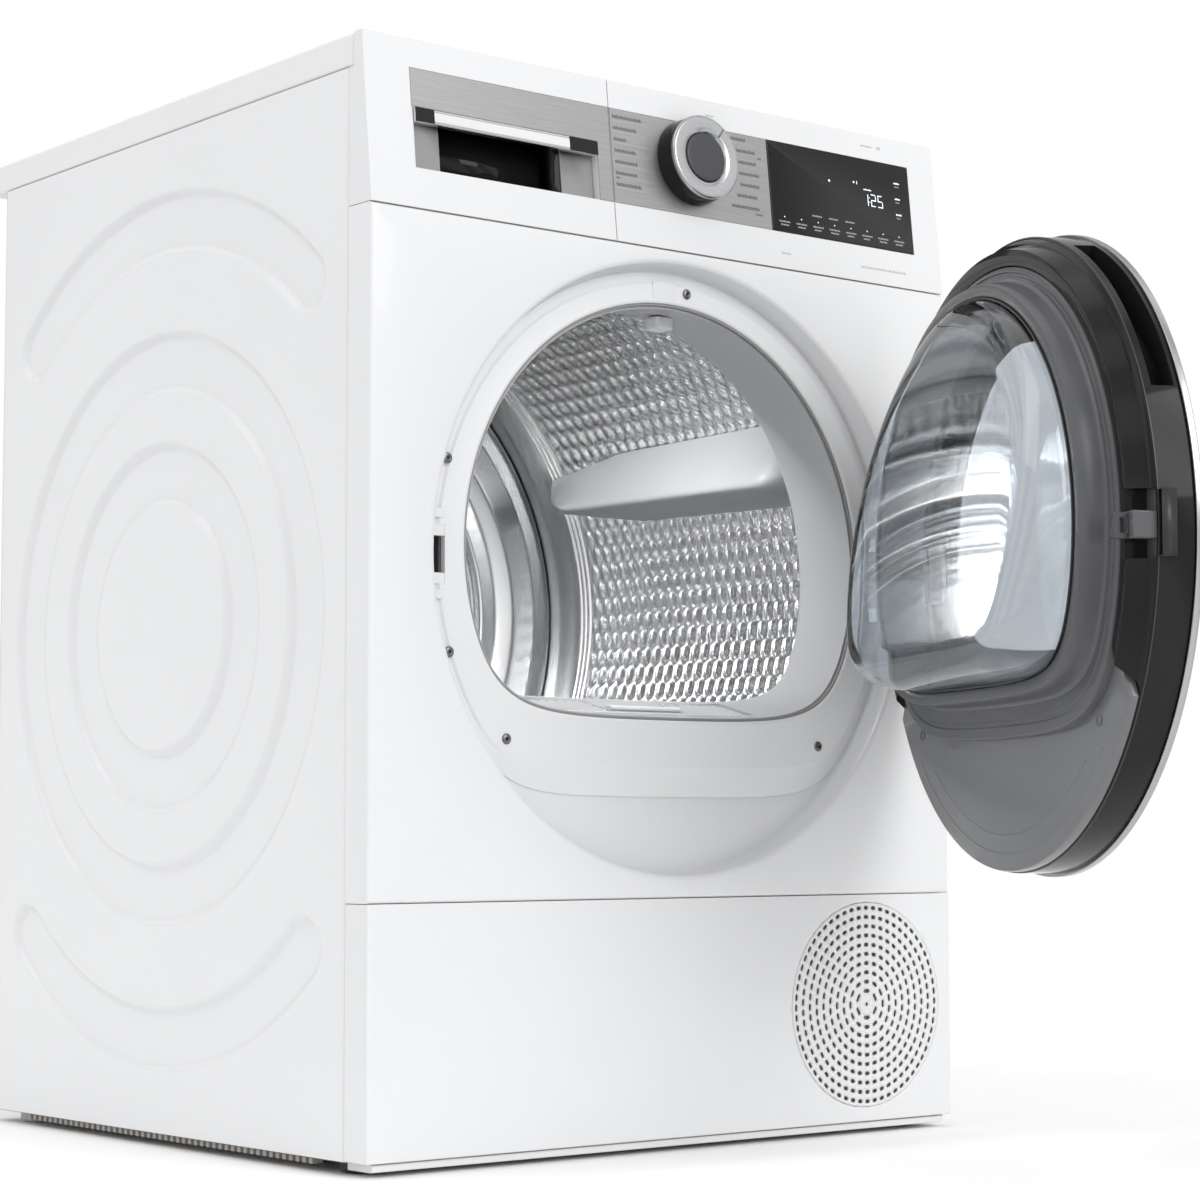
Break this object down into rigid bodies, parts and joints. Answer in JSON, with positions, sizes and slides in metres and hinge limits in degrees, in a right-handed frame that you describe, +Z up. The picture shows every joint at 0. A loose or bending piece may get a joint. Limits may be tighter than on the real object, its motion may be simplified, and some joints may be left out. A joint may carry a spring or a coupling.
{
  "type": "clothes dryer",
  "caption": "Free-standing front-loading clothes dryer with a round side-hinged glass door, turning steel drum, slide-out water container and tilted control panel.",
  "frame": {"origin": "on the floor, under the middle of the cabinet without its door", "axes": "+X to the right as seen from the front, +Y to the rear, +Z up"},
  "size_m": [0.598, 1.0683, 0.842],
  "materials": {
    "white_enamel": "gloss white enamel",
    "white_plastic": "satin white moulded plastic",
    "black_plastic": "gloss black",
    "dark_grey_plastic": "matt dark grey",
    "door_grey_plastic": "satin grey",
    "tray_grey_plastic": "grained grey-brown",
    "silver_ring": "satin silver",
    "stainless_steel": "bright stainless",
    "brushed_steel": "fine brushed",
    "chrome": "polished",
    "galvanised_steel": "galvanised sheet",
    "black_glass": "polished black",
    "bowl_glass": "clear, slightly blue",
    "rubber": "matt",
    "circuit_board": "board green",
    "aluminium_fins": "fin pack, modelled solid"
  },
  "bodies": {
    "cabinet": {"base_tray": "tray_grey_plastic", "foot_front_left": "rubber", "foot_front_right": "rubber", "foot_rear_left": "white_plastic", "foot_rear_right": "white_plastic", "side_panel_left": "white_enamel", "side_panel_right": "white_enamel", "back_panel": "galvanised_steel", "rear_duct_cover": "galvanised_steel", "rear_bulkhead": "galvanised_steel", "worktop": "white_enamel", "front_crossbar": "galvanised_steel", "front_panel": "white_enamel", "door_bezel": "white_plastic", "latch_receiver": "dark_grey_plastic", "plinth_panel": "white_plastic", "vent_grille": "white_plastic", "control_panel": "white_plastic", "panel_steel_trim": "brushed_steel", "display_window": "black_glass", "control_board": "circuit_board", "container_housing": "white_plastic", "hinge_pin": "galvanised_steel", "hinge_bracket": "galvanised_steel", "front_shield": "white_plastic", "drum_belt": "rubber", "motor": "galvanised_steel", "air_duct": "dark_grey_plastic", "evaporator": "aluminium_fins", "condenser": "aluminium_fins", "compressor": "black_plastic", "condensate_pump": "dark_grey_plastic", "cooling_fan_frame": "dark_grey_plastic"},
    "door": {"door_ring": "silver_ring", "door_glass": "black_glass", "door_shell": "black_plastic", "door_frame": "door_grey_plastic", "door_bowl": "bowl_glass", "latch_hook": "dark_grey_plastic", "hinge_arm": "galvanised_steel"},
    "drawer": {"drawer_front": "white_plastic", "drawer_steel_trim": "brushed_steel", "drawer_grip_bar": "chrome", "water_container": "white_plastic"},
    "knob": {"knob_skirt": "black_plastic", "knob_ring": "silver_ring", "knob_cap": "dark_grey_plastic"},
    "drum": {"drum_shell": "stainless_steel", "drum_rear_wall": "stainless_steel", "drum_lifter_1": "white_plastic", "drum_lifter_2": "white_plastic", "drum_lifter_3": "white_plastic"},
    "roller_left": {"support_roller_left": "rubber"},
    "roller_right": {"support_roller_right": "rubber"},
    "motor_rotor": {"motor_shaft": "stainless_steel", "process_fan": "dark_grey_plastic"},
    "belt_idler": {"idler_arm": "galvanised_steel"},
    "idler_wheel": {"idler_pulley": "dark_grey_plastic"},
    "filter": {"lint_filter": "white_plastic"},
    "cooling_rotor": {"cooling_fan": "dark_grey_plastic"}
  },
  "joints": [
    {"name": "door_hinge", "type": "hinge", "parent": "cabinet", "child": "door", "pos_m": [0.2425, -0.3195, 0.4565], "axis": [0, 0, 1], "range_deg": [-66.67, 93.33]},
    {"name": "drawer_slide", "type": "slide", "parent": "cabinet", "child": "drawer", "axis": [0, -1, 0], "range_m": [0, 0.3]},
    {"name": "knob_turn", "type": "hinge", "parent": "cabinet", "child": "knob", "pos_m": [0.019, -0.29175, 0.786], "axis": [0, -0.9948, 0.1021], "continuous": true},
    {"name": "drum_spin", "type": "hinge", "parent": "cabinet", "child": "drum", "pos_m": [0, 0, 0.456], "axis": [0, 1, 0], "continuous": true},
    {"name": "roller_left_spin", "type": "hinge", "parent": "cabinet", "child": "roller_left", "pos_m": [-0.14427, -0.1935, 0.18467], "axis": [0, 1, 0], "continuous": true},
    {"name": "roller_right_spin", "type": "hinge", "parent": "cabinet", "child": "roller_right", "pos_m": [0.14427, -0.1935, 0.18467], "axis": [0, 1, 0], "continuous": true},
    {"name": "motor_spin", "type": "hinge", "parent": "cabinet", "child": "motor_rotor", "pos_m": [0.225, 0.1005, 0.19], "axis": [0, 1, 0], "continuous": true},
    {"name": "idler_swing", "type": "hinge", "parent": "cabinet", "child": "belt_idler", "pos_m": [0.205, 0.0055, 0.15], "axis": [0, -1, 0], "range_deg": [0, 12], "stiffness_Nm_per_rad": 1, "springref_deg": -17.19},
    {"name": "idler_wheel_spin", "type": "hinge", "parent": "belt_idler", "child": "idler_wheel", "pos_m": [0.155, 0.0055, 0.15914], "axis": [0, 1, 0], "continuous": true},
    {"name": "filter_lift", "type": "slide", "parent": "cabinet", "child": "filter", "axis": [0, 0, 1], "range_m": [0, 0.13]},
    {"name": "cooling_fan_spin", "type": "hinge", "parent": "cabinet", "child": "cooling_rotor", "pos_m": [0.201, -0.2515, 0.1055], "axis": [0, 1, 0], "continuous": true}
  ],
  "couplings": [
    {"joint": "roller_left_spin", "follows": "drum_spin", "ratio": -11.792},
    {"joint": "roller_right_spin", "follows": "drum_spin", "ratio": -11.792},
    {"joint": "motor_spin", "follows": "drum_spin", "ratio": 23.583},
    {"joint": "idler_wheel_spin", "follows": "drum_spin", "ratio": -20.214}
  ]
}
